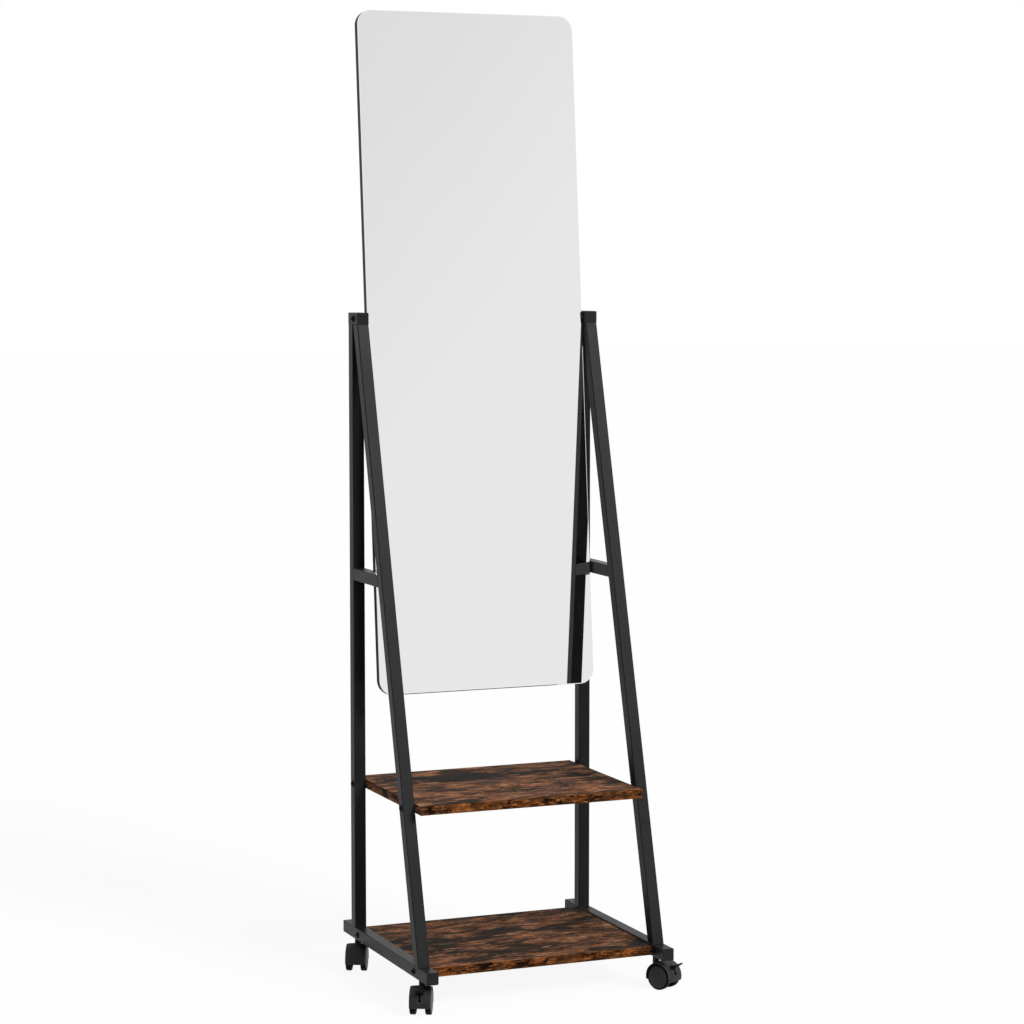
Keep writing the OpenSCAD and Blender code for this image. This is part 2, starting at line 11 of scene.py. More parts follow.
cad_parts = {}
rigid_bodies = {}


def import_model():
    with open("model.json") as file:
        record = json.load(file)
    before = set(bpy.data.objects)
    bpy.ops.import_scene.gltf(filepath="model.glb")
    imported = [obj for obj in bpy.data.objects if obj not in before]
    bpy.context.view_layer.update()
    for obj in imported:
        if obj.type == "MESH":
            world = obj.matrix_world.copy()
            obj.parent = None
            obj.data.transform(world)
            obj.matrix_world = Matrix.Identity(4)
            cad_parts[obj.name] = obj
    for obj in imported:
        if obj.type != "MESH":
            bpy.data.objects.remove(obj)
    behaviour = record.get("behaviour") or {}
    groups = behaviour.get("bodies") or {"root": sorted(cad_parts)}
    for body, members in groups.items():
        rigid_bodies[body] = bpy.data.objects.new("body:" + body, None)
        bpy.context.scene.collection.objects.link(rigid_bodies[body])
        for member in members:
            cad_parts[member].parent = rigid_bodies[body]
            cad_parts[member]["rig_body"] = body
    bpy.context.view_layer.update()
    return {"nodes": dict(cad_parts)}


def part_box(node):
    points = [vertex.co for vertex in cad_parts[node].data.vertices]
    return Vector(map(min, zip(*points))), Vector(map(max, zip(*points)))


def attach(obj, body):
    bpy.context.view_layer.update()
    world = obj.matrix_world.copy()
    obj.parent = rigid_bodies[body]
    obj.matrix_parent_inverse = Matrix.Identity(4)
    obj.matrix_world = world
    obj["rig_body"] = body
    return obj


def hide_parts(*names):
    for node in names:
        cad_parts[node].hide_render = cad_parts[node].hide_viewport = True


bl_info = {
    "name": "Rolling Floor Mirror",
    "version": (1, 0, 0),
    "blender": (4, 5, 0),
    "location": "3D View > Sidebar > Floor Mirror",
    "description": "Builds the finishes and fine pieces of a rolling floor mirror",
    "category": "Object",
}

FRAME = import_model()
NODES = FRAME["nodes"]

SIDES = ("left", "right")
CASTERS = ("front_left", "front_right", "rear_left", "rear_right")

# Lengths are in metres, angles in radians and colours in linear light.
MERGE = 3e-6  # doubled corners of a CAD mesh lie nearer than this
PINCH = 2e-7  # edges that rounding left shorter than this go
FLAT = math.radians(1.0)  # faces that meet at less than this are one flat face
BEAD_INSET = 0.0022  # from a tube's side to the end of a weld across it
BEAD_OUT = 0.0002  # how far the middle of a weld stands out of its corner
ROUGH_LEAN = 0.2656  # lean of the legs, near enough for the length of their cut ends
SHANK = 0.006  # diameter of a bolt's shank
ROOT = 0.0006  # how far a shank runs up into its head
ROUND = 48  # sides of a bolt's head
DOME = 0.62  # radius of a head's dome, as a share of the head's diameter
KEY_TURN = math.radians(3.75)  # keeps the key socket's corners between the dome's seams
INNER_SHADE_FROM = 0.015  # a hood's faces beyond this radius that face its axle get painted shade
LIP = 0.0003  # small rounding of a wheel's inner edges
SHOULDER = 0.0012  # rounding of a tread's outer shoulder
FOOT = 0.0010  # rounding of a tread's inner edge
TREAD = 0.0013  # the flat side of a CAD tread ends this far inside its radius
GROOVE = 0.0003  # width of the bottom of a disc's groove
WALL = 0.0001  # how far the groove's walls lean outwards
FLOOR = 30.0  # half the width of the floor
DUST = (0.30, 0.29, 0.275)
WOOD_DUST = (0.30, 0.27, 0.24)
WHITE = (1.0, 1.0, 1.0)

# Layers of the wood's print: how often each repeats in a patch's length along and across the
# grain, where it starts, and its noise's detail, roughness and twist
LAYERS = {
    "Blot": (0.90, 2.1, (0.3, 0.0, 0.7), 7.0, 0.66, 0.25),
    "Crowd": (0.42, 0.75, (1.1, 2.6, 4.3), 2.0, 0.5, 0.0),
    "Dusk": (0.8, 1.9, (6.1, 3.3, 5.2), 5.0, 0.6, 0.0),
    "Warm": (1.3, 4.2, (3.1, 1.7, 0.4), 8.0, 0.72, 0.10),
    "Streak": (3.4, 10.0, (0.3, 5.1, 2.2), 7.0, 0.76, 0.0),
    "Fine": (2.2, 34.0, (5.0, 0.7, 3.3), 4.0, 0.62, 0.0),
    "Fibre": (6.0, 110.0, (0.0, 0.0, 0.0), 2.0, 0.60, 0.0),
    "Ridge": (2.2, 10.0, (7.0, 0.0, 1.0), 3.0, 0.55, 0.8),
    "Some": (1.6, 3.2, (0.0, 9.0, 4.0), 2.0, 0.5, 0.0),
    "Fray": (4.0, 16.0, (1.0, 2.0, 3.0), 3.0, 0.6, 0.0),
}


# ---------------------------------------------------------------- sizes and colours


def size_prop(name, text, default, low, high):
    return FloatProperty(name=name, description=text, default=default, min=low, max=high,
                         subtype="DISTANCE", unit="LENGTH", precision=5)


def share_prop(name, text, default, high=1.0):
    return FloatProperty(name=name, description=text, default=default, min=0.0, max=high,
                         subtype="FACTOR")


def colour_prop(name, text, default):
    return FloatVectorProperty(name=name, description=text, default=default, size=3,
                               min=0.0, max=1.0, subtype="COLOR")


class TubeLooks(bpy.types.PropertyGroup):
    """Coat, welds and plugs of the side frames"""

    coat: colour_prop("Coat", "Colour of the powder coat on the tubes", (0.0092, 0.0094, 0.0098))
    coat_roughness: share_prop("Coat roughness", "Roughness of the powder coat", 0.37)
    peel: share_prop("Peel", "Depth of the powder coat's fine dimples", 0.25)
    bead: size_prop("Weld bead", "Radius of the weld beads in the corners", 0.0013, 0.0005, 0.003)
    ripple: size_prop("Weld ripple", "Distance between the ripples of a weld bead", 0.0018, 0.001,
                      0.004)
    plug: colour_prop("Plug", "Colour of the plugs in the tube ends", (0.0095, 0.0095, 0.0100))
    plug_edge: size_prop("Plug edge", "Rounding of a plug's outer edges", 0.0007, 0.0001, 0.002)


class PaneLooks(bpy.types.PropertyGroup):
    """Glass and board of the mirror"""

    arris: size_prop("Arris", "Width of the ground edge of the glass", 0.0013, 0.0002, 0.0014)
    silver: colour_prop("Silver", "Colour of what the mirror gives back", (0.775, 0.768, 0.770))
    glass_edge: colour_prop("Glass edge", "Colour of the edge of the glass", (0.010, 0.011, 0.011))
    bright: colour_prop("Bright", "Colour of the ground arris of the glass", (0.82, 0.83, 0.825))
    board: colour_prop("Board", "Colour of the painted backing board", (0.010, 0.010, 0.0105))
    board_edge: size_prop("Board edge", "Rounding of the backing board's edges", 0.0010, 0.0002,
                          0.003)


class ShelfLooks(bpy.types.PropertyGroup):
    """Printed wood of the shelves and of their bands"""

    dark: colour_prop("Dark", "Colour of the charred patches", (0.0190, 0.0135, 0.0100))
    brown: colour_prop("Brown", "Colour of the middle brown", (0.066, 0.0300, 0.0165))
    warm: colour_prop("Warm", "Colour of the warm patches", (0.240, 0.098, 0.045))
    pale: colour_prop("Pale", "Colour of the palest streaks", (0.500, 0.245, 0.142))
    band_dark: colour_prop("Band dark", "Dark marks of the edge band", (0.0060, 0.0028, 0.0015))
    band_brown: colour_prop("Band brown", "Middle colour of the edge band", (0.058, 0.0195, 0.0060))
    band_warm: colour_prop("Band warm", "Warm patches of the edge band", (0.165, 0.053, 0.0130))
    band_pale: colour_prop("Band pale", "Palest colour of the edge band", (0.350, 0.135, 0.0430))
    patch: size_prop("Patch", "Length of a dark patch along the grain", 0.100, 0.02, 0.3)
    edge: size_prop("Edge", "Rounding of the shelves' long edges", 0.0009, 0.0002, 0.003)


class BoltLooks(bpy.types.PropertyGroup):
    """Heads of the bolts"""

    head: size_prop("Head", "Diameter of a bolt's head", 0.0115, 0.008, 0.016)
    height: size_prop("Height", "Height of a bolt's head", 0.0033, 0.002, 0.006)
    key: size_prop("Key", "Width across flats of the key socket", 0.004, 0.002, 0.006)
    depth: size_prop("Depth", "Depth of the key socket", 0.0019, 0.001, 0.003)
    black: colour_prop("Black", "Colour of the black plated bolts", (0.0030, 0.0030, 0.0032))


class CasterLooks(bpy.types.PropertyGroup):
    """Colours of the casters and turned sizes of their wheels"""

    hood: colour_prop("Hood", "Colour of the moulded hoods", (0.0170, 0.0170, 0.0175))
    wheel: colour_prop("Wheel", "Colour of the wheels", (0.0190, 0.0190, 0.0195))
    steel: colour_prop("Steel", "Colour of the zinc plated steel", (0.62, 0.62, 0.61))
    # Painted shade: the dark colour put on the hoods' inner faces, where shade falls round the
    # wheels
    inner_shade: colour_prop("Inner shade", "Colour inside the hoods", (0.0045, 0.0045, 0.0045))
    # Partly the treads' own dark colour, partly painted shade of the gap between hood and wheel
    tread_and_shade: colour_prop("Tread and shade", "Colour of the wheels' treads", (0.0025, 0.0025, 0.0025))
    lever: colour_prop("Lever", "Colour of the brake levers", (0.0045, 0.0045, 0.0047))
    edge: size_prop("Edge", "Rounding of the moulded edges", 0.0007, 0.0001, 0.002)
    # The tread ring is also widened to take in painted shade of the gap between hood and wheel
    disc: size_prop("Disc inset", "Width of the tread's ring round a wheel's disc", 0.0025, 0.001,
                    0.003)
    groove: size_prop("Groove", "Depth of the groove round a wheel's disc", 0.0005, 0.0002, 0.001)
    bore: size_prop("Bore", "Radius of a wheel's bore", 0.00306, 0.002, 0.004)
    grip: size_prop("Grip", "Depth of a wheel's bore", 0.0083, 0.005, 0.0086)
    hub: size_prop("Hub", "Radius of a wheel's hub", 0.008, 0.006, 0.01)
    recess: size_prop("Recess", "Outer radius of the recess round the hub", 0.016, 0.014, 0.018)
    recess_depth: size_prop("Recess depth", "Depth of the recess round the hub", 0.003, 0.002,
                            0.004)


class StageLooks(bpy.types.PropertyGroup):
    """Floor, light and camera"""

    ground: colour_prop("Ground", "Colour of the floor", (0.78, 0.78, 0.78))
    veil: share_prop("Veil", "How much of its shadow the floor hides from the camera", 0.92)
    sky: share_prop("Sky", "Level of the light from all round", 0.24, 2.0)
    key: FloatProperty(name="Key", description="Strength of the light from the front",
                       default=3.0, min=0.0, max=10.0)
    top: FloatProperty(name="Top", description="Strength of the light from above", default=0.30,
                       min=0.0, max=10.0)
    lens: FloatProperty(name="Lens", description="Focal length of the camera", default=100.65,
                        min=10.0, max=300.0, unit="CAMERA")
    eye: FloatVectorProperty(name="Eye", description="Place of the camera",
                             default=(-1.787, -4.321, 1.193), size=3, subtype="TRANSLATION",
                             unit="LENGTH")
    turn: FloatProperty(name="Turn", description="How far the camera looks to the right",
                        default=math.radians(22.608), subtype="ANGLE", unit="ROTATION")
    dip: FloatProperty(name="Dip", description="How far the camera looks down",
                       default=math.radians(5.088), subtype="ANGLE", unit="ROTATION")


# ---------------------------------------------------------------- node trees


class Nodes:
    """Short ways to add nodes to a tree and join them."""

    def __init__(self, tree):
        self.tree = tree

    def add(self, kind, **values):
        node = self.tree.nodes.new(kind)
        for key, value in values.items():
            setattr(node, key, value)
        return node

    def feed(self, socket, value):
        """Sets a socket to a value, or links another socket or a list of them to it."""
        if isinstance(value, list):
            for one in value:
                self.feed(socket, one)
        elif isinstance(value, bpy.types.NodeSocket):
            self.tree.links.new(value, socket)
        else:
            if socket.type == "RGBA" and len(value) == 3:
                value = (*value, 1.0)
            socket.default_value = value

    def run(self, kind, inputs, output=0, **values):
        """Adds a node, feeds its inputs by name or number, and gives one of its outputs."""
        node = self.add(kind, **values)
        for key, value in inputs.items():
            self.feed(node.inputs[key], value)
        return node.outputs[output]

    def math(self, operation, *terms, clamp=False):
        return self.run("ShaderNodeMath", dict(enumerate(terms)), operation=operation,
                        use_clamp=clamp)

    def times(self, a, b):
        return self.math("MULTIPLY", a, b)

    def plus(self, a, b):
        return self.math("ADD", a, b)

    def noise(self, vector, scale, detail=3.0, rough=0.5, twist=0.0):
        return self.run("ShaderNodeTexNoise", {
            "Vector": vector, "Scale": scale, "Detail": detail, "Roughness": rough,
            "Distortion": twist}, "Fac")

    def stretch(self, vector, scale, move=(0, 0, 0), turn=0.0):
        return self.run("ShaderNodeMapping", {
            "Vector": vector, "Scale": scale, "Location": move, "Rotation": (0.0, 0.0, turn)})

    def span(self, value, low, high, to_low=0.0, to_high=1.0, kind="SMOOTHSTEP"):
        """Maps what lies between two values onto the range between two others."""
        return self.run("ShaderNodeMapRange", {
            "Value": value, "From Min": low, "From Max": high, "To Min": to_low,
            "To Max": to_high}, interpolation_type=kind)

    def mix(self, share, a, b):
        node = self.add("ShaderNodeMix", data_type="RGBA")
        self.feed(node.inputs["Factor"], share)
        for socket, colour in zip([s for s in node.inputs if s.type == "RGBA"], (a, b)):
            self.feed(socket, colour)
        return next(s for s in node.outputs if s.type == "RGBA")

    def bump(self, height, strength, distance):
        return self.run("ShaderNodeBump", {
            "Height": height, "Strength": strength, "Distance": distance})

    def xyz(self, **parts):
        return self.run("ShaderNodeCombineXYZ", parts)

    def place(self):
        return self.add("ShaderNodeTexCoord").outputs["Object"]

    def facing(self):
        return self.add("ShaderNodeNewGeometry").outputs["Normal"]

    def use(self, tree, **values):
        """Puts a shader node group in the tree, with its own values, and gives its outputs."""
        node = self.add("ShaderNodeGroup", node_tree=tree)
        for key, value in values.items():
            self.feed(node.inputs[key.replace("_", " ")], value)
        return node.outputs


FLOAT, GEOMETRY = "NodeSocketFloat", "NodeSocketGeometry"


def new_group(name, inputs, outputs, kind="ShaderNodeTree", gives=FLOAT):
    """An empty node group, its helper, its inputs and its output node's ends."""
    tree = bpy.data.node_groups.new(name, kind)
    for label, socket_type, default in inputs:
        socket = tree.interface.new_socket(name=label, in_out="INPUT", socket_type=socket_type)
        if default is not None:
            socket.default_value = default
    for label in outputs:
        tree.interface.new_socket(name=label, in_out="OUTPUT", socket_type=gives)
    put = Nodes(tree)
    return tree, put, put.add("NodeGroupInput").outputs, put.add("NodeGroupOutput").inputs


def new_tree(name, inputs):
    """An empty geometry node tree, its helper, its inputs and its output node's ends."""
    return new_group(name, [("Geometry", GEOMETRY, None), *inputs], ["Geometry"],
                     "GeometryNodeTree", GEOMETRY)


def once(store, name):
    """Has a function make its group or material once, and find it by name after that."""
    def wrap(make):
        return lambda: getattr(bpy.data, store).get(name) or make(name)
    return wrap


@once("node_groups", "Edge Rub")
def edge_wear_and_highlight_group(name):
    """Mask of the outer edges, painted paler: partly wear, partly painted highlight."""
    tree, put, take, give = new_group(
        name, [("Radius", FLOAT, 0.0015), ("Patch Scale", FLOAT, 60.0)], ["Mask"])
    bevelled = put.run("ShaderNodeBevel", {"Radius": take["Radius"]}, samples=4)
    bend = put.run("ShaderNodeVectorMath", {0: bevelled, 1: put.facing()}, "Value",
                   operation="DOT_PRODUCT")
    patch = put.noise(put.place(), take["Patch Scale"], 4.0, 0.6)
    put.feed(give["Mask"], put.times(put.span(bend, 0.995, 0.86), put.span(patch, 0.38, 0.62)))
    return tree


@once("node_groups", "Light Dust")
def dust_group(name):
    """Mask of fine dust, thickest on what faces up."""
    tree, put, take, give = new_group(
        name, [("Amount", FLOAT, 0.1), ("Scale", FLOAT, 35.0)], ["Mask"])
    up = put.span(put.run("ShaderNodeSeparateXYZ", {0: put.facing()}, "Z"), 0.1, 1.0, 0.15, 1.0)
    cloud = put.noise(put.place(), take["Scale"], 5.0, 0.65)
    speck = put.noise(put.place(), 900.0, 1.0, 0.5)
    both = put.times(put.span(cloud, 0.35, 0.75), put.span(speck, 0.3, 0.8, 0.5, 1.0))
    put.feed(give["Mask"], put.times(put.times(up, both), take["Amount"]))
    return tree


@once("node_groups", "Fine Grain")
def fine_grain_group(name):
    """Height and tone of a fine moulded or sprayed surface."""
    tree, put, take, give = new_group(
        name, [("Grain Scale", FLOAT, 900.0), ("Cloud Scale", FLOAT, 9.0)], ["Height", "Tone"])
    where = put.place()
    grain = put.noise(where, take["Grain Scale"], 2.0, 0.55)
    cloud = put.noise(where, take["Cloud Scale"], 4.0, 0.6)
    put.feed(give["Height"], grain)
    put.feed(give["Tone"], put.plus(put.times(cloud, 0.7), put.times(grain, 0.3)))
    return tree


@once("node_groups", "Rustic Grain")
def rustic_group(name):
    """Masks of a rustic print whose grain runs along X: patches, warm areas, streaks, fibre."""
    plain = ("Dusk", "Warm", "Streak", "Fine", "Fibre")
    tree, put, take, give = new_group(
        name, [("Vector", "NodeSocketVector", None), ("Patch Length", FLOAT, 0.085)],
        ["Patch", *plain, "Crack", "Knot"])
    unit = put.run("ShaderNodeVectorMath", {
        0: take["Vector"], "Scale": put.math("DIVIDE", 1.0, take["Patch Length"])},
        operation="SCALE")
    sway = put.times(put.noise(put.stretch(unit, (0.45, 1.2, 1.2)), 1.0, 2.0, 0.5), 0.26)
    bent = put.run("ShaderNodeVectorMath", {0: unit, 1: put.xyz(Y=sway, Z=sway)}, operation="ADD")

    def layer(label):
        along, across, move, detail, rough, twist = LAYERS[label]
        return put.noise(put.stretch(bent, (along, across, across), move), 1.0, detail, rough,
                         twist)

    for label in plain:
        put.feed(give[label], layer(label))
    put.feed(give["Patch"], put.plus(put.times(layer("Blot"), 0.68),
                                     put.times(layer("Crowd"), 0.32)))
    thin = put.math("ABSOLUTE", put.math("SUBTRACT", layer("Ridge"), 0.5))
    put.feed(give["Crack"], put.times(put.span(thin, 0.030, 0.006),
                                      put.span(layer("Some"), 0.47, 0.55)))
    ring = put.run("ShaderNodeTexVoronoi", {
        "Vector": put.stretch(bent, (0.62, 1.35, 1.35), (0.2, 0.4, 0.1)), "Scale": 1.0,
        "Randomness": 0.9}, "Distance", feature="F1")
    put.feed(give["Knot"], put.span(put.plus(ring, put.times(layer("Fray"), 0.2)), 0.27, 0.16))
    return tree


def coated(put, mesh, take, give):
    """Ends a geometry tree: its instances made real, with the finish on all of it."""
    real = put.run("GeometryNodeRealizeInstances", {0: mesh})
    put.feed(give["Geometry"], put.run("GeometryNodeSetMaterial", {
        "Geometry": real, "Material": take["Finish"]}))


@once("node_groups", "Bolts")
def bolt_tree(name):
    """A domed bolt head with a key socket at each point, its shank along the point's turn."""
    tree, put, take, give = new_tree(name, [
        ("Head Diameter", FLOAT, 0.0115), ("Head Height", FLOAT, 0.0033),
        ("Key Width", FLOAT, 0.004), ("Key Depth", FLOAT, 0.0019),
        ("Shank Diameter", FLOAT, SHANK), ("Shank Length", FLOAT, 0.032),
        ("Finish", "NodeSocketMaterial", None)])

    def moved(mesh, shift, turn=0.0):
        return put.run("GeometryNodeTransform", {
            "Geometry": mesh, "Translation": put.xyz(Z=shift), "Rotation": (0.0, 0.0, turn)})

    def cylinder(radius, depth, sides, shift, turn=0.0):
        return moved(put.run("GeometryNodeMeshCylinder", {
            "Vertices": sides, "Radius": radius, "Depth": depth}, "Mesh"), shift, turn)

    def carved(operation, **meshes):
        return put.run("GeometryNodeMeshBoolean", {
            key.replace("_", " "): mesh for key, mesh in meshes.items()}, operation=operation)

    width, height, length = take["Head Diameter"], take["Head Height"], take["Shank Length"]
    dome = put.times(width, DOME)
    ball = put.run("GeometryNodeMeshUVSphere", {
        "Segments": ROUND, "Rings": ROUND, "Radius": dome}, "Mesh")
    head = carved("INTERSECT", Mesh_2=[
        cylinder(put.times(width, 0.5), height, ROUND, put.times(height, 0.5)),
        moved(ball, put.math("SUBTRACT", height, dome))])
    key = cylinder(put.math("DIVIDE", take["Key Width"], math.sqrt(3.0)),
                   put.times(take["Key Depth"], 2.0), 6, height, KEY_TURN)
    shank = cylinder(put.times(take["Shank Diameter"], 0.5), put.plus(length, ROOT), 32,
                     put.times(put.math("SUBTRACT", length, ROOT), -0.5))
    whole = carved("UNION", Mesh_2=[carved("DIFFERENCE", Mesh_1=head, Mesh_2=key), shank])
    outward = put.run("GeometryNodeInputNamedAttribute", {"Name": "outward"}, "Attribute",
                      data_type="FLOAT_VECTOR")
    coated(put, put.run("GeometryNodeInstanceOnPoints", {
        "Points": take["Geometry"],
        "Instance": put.run("GeometryNodeSetShadeSmooth", {"Geometry": whole}),
        "Rotation": put.run("FunctionNodeAlignRotationToVector", {"Vector": outward}, axis="Z"),
    }), take, give)
    return tree


@once("node_groups", "Weld Beads")
def bead_tree(name):
    """A rippled weld bead with round ends along each edge of the base mesh."""
    tree, put, take, give = new_tree(name, [
        ("Bead Radius", FLOAT, 0.0013), ("Ripple Length", FLOAT, 0.0018),
        ("Seed", "NodeSocketInt", 7), ("Finish", "NodeSocketMaterial", None)])
    line = put.run("GeometryNodeResampleCurve", {
        "Curve": put.run("GeometryNodeMeshToCurve", {"Mesh": take["Geometry"]}),
        "Length": put.times(take["Ripple Length"], 0.25)}, mode="LENGTH")
    along = put.add("GeometryNodeSplineParameter").outputs
    wave = put.math("SINE", put.times(put.math("DIVIDE", along["Length"], take["Ripple Length"]),
                                      math.tau))
    ends = put.math("MULTIPLY", put.times(along["Factor"],
                                          put.math("SUBTRACT", 1.0, along["Factor"])), 24.0,
                    clamp=True)
    shake = put.run("FunctionNodeRandomValue", {2: 0.92, 3: 1.06, "Seed": take["Seed"]}, 1,
                    data_type="FLOAT")
    size = put.times(put.plus(put.times(wave, 0.07), 0.93), put.math("POWER", ends, 0.5))
    bead = put.run("GeometryNodeCurveToMesh", {
        "Curve": line, "Fill Caps": True,
        "Profile Curve": put.run("GeometryNodeCurvePrimitiveCircle", {
            "Resolution": 12, "Radius": 1.0}, mode="RADIUS"),
        "Scale": put.times(put.times(size, shake), take["Bead Radius"])})
    coated(put, put.run("GeometryNodeSetShadeSmooth", {"Geometry": bead}), take, give)
    return tree


# ---------------------------------------------------------------- finishes of this object


def shade(colour, factor, lift=0.0):
    """A colour made lighter or darker."""
    return tuple(min(1.0, c * factor + lift) for c in colour)


def new_material(name, rough, metallic=0.0, specular=0.5):
    """A material, the inputs of its Principled shader, and the helper for its tree."""
    material = bpy.data.materials.new(name)
    material.use_nodes = True
    ends = material.node_tree.nodes["Principled BSDF"].inputs
    ends["Roughness"].default_value = rough
    ends["Metallic"].default_value = metallic
    ends["Specular IOR Level"].default_value = specular
    return material, ends, Nodes(material.node_tree)


def grained_finish(name, colour, rough, grain_scale, depth, specular=0.5, metallic=0.0,
                   rub=0.5, wear_and_highlight_radius=0.0012, dust=0.06):
    """A sprayed, plated or moulded finish: grain, paler edges of wear and painted highlight, a
    little dust.
    """
    material, ends, put = new_material(name, rough, metallic, specular)
    grain = put.use(fine_grain_group(), Grain_Scale=grain_scale)
    edge = put.use(edge_wear_and_highlight_group(), Radius=wear_and_highlight_radius)
    dusty = put.use(dust_group(), Amount=dust)
    base = put.mix(put.span(grain["Tone"], 0.3, 0.7), shade(colour, 0.80),
                   shade(colour, 1.22, 0.002))
    # Edges painted paler along the mask: partly wear, partly painted highlight
    base = put.mix(put.times(edge["Mask"], rub), base, shade(colour, 1.6, 0.045 * rub))
    put.feed(ends["Base Color"], put.mix(dusty["Mask"], base, DUST))
    put.feed(ends["Roughness"],
             put.plus(put.span(grain["Tone"], 0.25, 0.75, rough - 0.06, rough + 0.07),
                      put.times(dusty["Mask"], 0.5)))
    put.feed(ends["Normal"], put.bump(grain["Height"], depth, 0.0002))
    return material


def clouded_finish(name, scale, detail, low, high, rough, wander=None, **shine):
    """A finish whose colour, and where asked its roughness, wanders between two values."""
    material, ends, put = new_material(name, rough, **shine)
    cloud = put.noise(put.place(), scale, detail, 0.6)
    put.feed(ends["Base Color"], put.mix(put.span(cloud, 0.3, 0.7), low, high))
    if wander:
        put.feed(ends["Roughness"], put.span(cloud, 0.3, 0.7, *wander))
    return material, ends, put, cloud


@once("materials", "Black powder coat")
def powder_coat(name):
    looks = bpy.context.scene.tube_looks
    return grained_finish(name, looks.coat, looks.coat_roughness, 1300.0, looks.peel,
                          specular=0.075, rub=0.35, wear_and_highlight_radius=0.0010, dust=0.012)


@once("materials", "Zinc plate")
def zinc(name):
    return grained_finish(name, bpy.context.scene.caster_looks.steel, 0.34, 1800.0, 0.15,
                          metallic=1.0, rub=0.2, dust=0.02)


@once("materials", "Black plated steel")
def bolt_black(name):
    # The paler rims of the bolt heads are a painted highlight
    return grained_finish(name, bpy.context.scene.bolt_looks.black, 0.34, 2200.0, 0.12,
                          specular=0.06, rub=0.3, wear_and_highlight_radius=0.0005, dust=0.004)


def rustic(name, colours, patch, char, crossways=False):
    """Printed rustic wood with its grain along X, or along Y where it runs crossways."""
    dark, brown, warm, pale = colours
    material, ends, put = new_material(name, 0.62, specular=0.012)
    where = put.stretch(put.place(), WHITE, turn=math.pi / 2 if crossways else 0.0)
    grain = put.use(rustic_group(), Vector=where, Patch_Length=patch)
    dusty = put.use(dust_group(), Amount=0.012, Scale=14.0)
    edge = put.use(edge_wear_and_highlight_group(), Radius=0.0016, Patch_Scale=70.0)
    span, streak, fine = put.span, grain["Streak"], grain["Fine"]
    night = put.plus(put.times(grain["Patch"], 0.74),
                     put.plus(put.times(streak, 0.14), put.times(fine, 0.12)))
    dusky = (brown[0] * 0.95, brown[1] * 1.25, brown[2] * 1.8)
    cool = (dark[0] * 0.62, dark[1], dark[2] * 1.3)
    # Each coat lies on those before it, where its mask says
    coats = [
        (span(grain["Dusk"], 0.44, 0.56), dusky),
        (span(grain["Warm"], 0.455, 0.535), warm),
        (put.times(span(streak, 0.52, 0.60), span(grain["Warm"], 0.45, 0.57)), pale),
        (span(fine, 0.56, 0.66, 0.0, 0.70), pale),
        (span(fine, 0.47, 0.35, 0.0, 0.75), dark),
        (span(streak, 0.47, 0.36, 0.0, 0.75), dark),
        (span(streak, 0.57, 0.64, 0.0, 0.60), pale),
        (span(night, char + 0.026, char - 0.022, 0.0, 0.96), dark),
        (span(night, char - 0.015, char - 0.060, 0.0, 0.90), cool),
        (span(grain["Fibre"], 0.42, 0.70, 0.0, 0.28), shade(brown, 0.55)),
        (put.times(grain["Knot"], 0.85), shade(dark, 0.60)),
        (grain["Crack"], shade(dark, 0.35)),
        (dusty["Mask"], WOOD_DUST),
        # Pale along the rounded edges: a painted highlight
        (put.times(edge["Mask"], 0.45), pale),
    ]
    base = brown
    for mask, colour in coats:
        base = put.mix(mask, base, colour)
    put.feed(ends["Base Color"], base)
    put.feed(ends["Roughness"], span(streak, 0.2, 0.8, 0.56, 0.70))
    relief = put.plus(put.times(grain["Fibre"], 0.5), put.times(fine, 0.5))
    put.feed(ends["Normal"], put.bump(relief, 0.18, 0.0003))
    return material


# ---------------------------------------------------------------- making pieces


def linked(name, data):
    """A new object in the scene."""
    item = bpy.data.objects.new(name, data)
    bpy.context.scene.collection.objects.link(item)
    return item


def new_piece(name, mesh, body, materials=(), replaced=()):
    """Puts a finished mesh in the scene as a piece that rides on a body."""
    piece = linked(name, mesh)
    for material in materials:
        mesh.materials.append(material)
    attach(piece, body)
    if replaced:
        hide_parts(*replaced)


def mesh_from(bm, name, smooth=35.0):
    """Turns a bmesh into a mesh with smooth faces and sharp edges kept."""
    mesh = bpy.data.meshes.new(name)
    bm.normal_update()
    bm.to_mesh(mesh)
    bm.free()
    if "custom_normal" in mesh.attributes:
        mesh.attributes.remove(mesh.attributes["custom_normal"])
    mesh.shade_smooth()
    mesh.set_sharp_from_angle(angle=math.radians(smooth))
    return mesh


def applied(holder):
    """The mesh of an object with its modifiers applied; the object itself goes."""
    graph = bpy.context.evaluated_depsgraph_get()
    mesh = bpy.data.meshes.new_from_object(holder.evaluated_get(graph), depsgraph=graph)
    holder.modifiers.clear()
    bpy.data.objects.remove(holder)
    return mesh


def evened(mesh):
    """The mesh with normals that keep its large faces flat."""
    holder = linked(mesh.name, mesh)
    holder.modifiers.new("Even", "WEIGHTED_NORMAL").keep_sharp = True
    return applied(holder)


def merged(node):
    """A CAD node's mesh with its loose triangles joined."""
    bm = bmesh.new()
    bm.from_mesh(NODES[node].data)
    bmesh.ops.remove_doubles(bm, verts=bm.verts, dist=MERGE)
    return bm


def bevelled(node, width, angle, segments, clamp):
    """A CAD node's mesh with its flat faces whole and its sharp edges bevelled."""
    bm = merged(node)
    bmesh.ops.dissolve_limit(bm, angle_limit=FLAT, verts=bm.verts, edges=bm.edges)
    sharp = [e for e in bm.edges
             if len(e.link_faces) == 2 and e.calc_face_angle(0.0) > math.radians(angle)]
    bmesh.ops.bevel(bm, geom=sharp, offset=width, segments=segments, profile=0.5,
                    affect="EDGES", clamp_overlap=clamp)
    return bm


